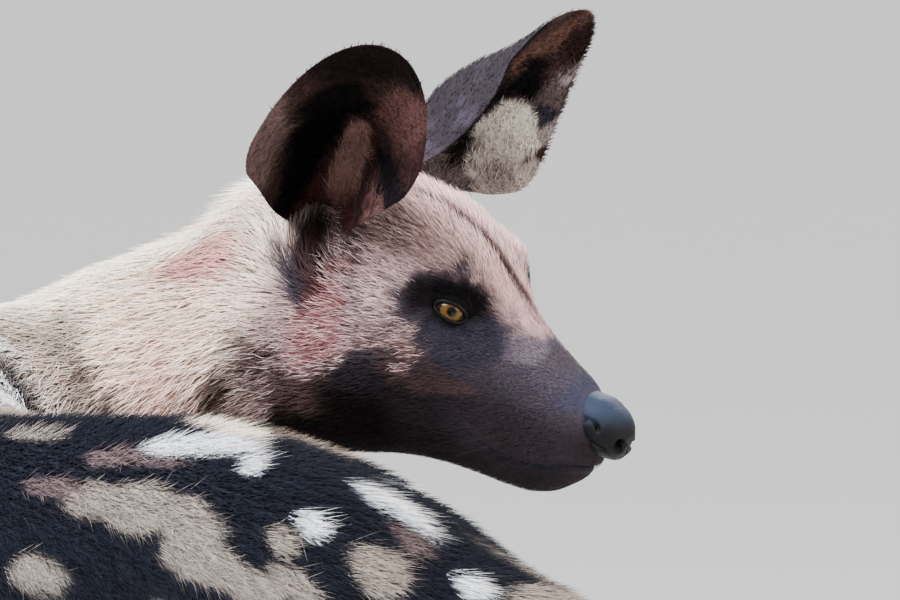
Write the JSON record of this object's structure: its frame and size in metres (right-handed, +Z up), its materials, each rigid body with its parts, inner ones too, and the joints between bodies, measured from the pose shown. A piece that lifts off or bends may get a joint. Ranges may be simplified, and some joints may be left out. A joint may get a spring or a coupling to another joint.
{
  "type": "african wild dog",
  "caption": "Life-size standing African wild dog that looks back over its right flank, with round cupped ears, mottled coat and bushy tail.",
  "frame": {"origin": "middle of the bounding box, on the floor under the animal", "axes": "+X the way the hips face, +Y to the animal's left, +Z up"},
  "size_m": [0.8282, 0.6214, 0.8623],
  "materials": {
    "body_coat": "matte short fur, mottled black, tan and white",
    "neck_coat": "matte fur, cream with pale tan",
    "face_coat": "matte short fur, grizzled grey with a dark muzzle",
    "ear_coat": "matte short fur, brown-black",
    "tail_brush": "matte long fur, white with a black band",
    "nose_skin": "moist black skin",
    "eye": "polished, amber iris"
  },
  "bodies": {
    "root": {"head": "face_coat", "nose": "nose_skin", "eye_left": "eye", "eye_right": "eye", "ear_left": "ear_coat", "ear_right": "ear_coat", "neck": "neck_coat", "torso": "body_coat", "leg_front_left": "body_coat", "leg_front_right": "body_coat", "leg_hind_left": "body_coat", "leg_hind_right": "body_coat", "tail": "tail_brush"}
  },
  "joints": []
}
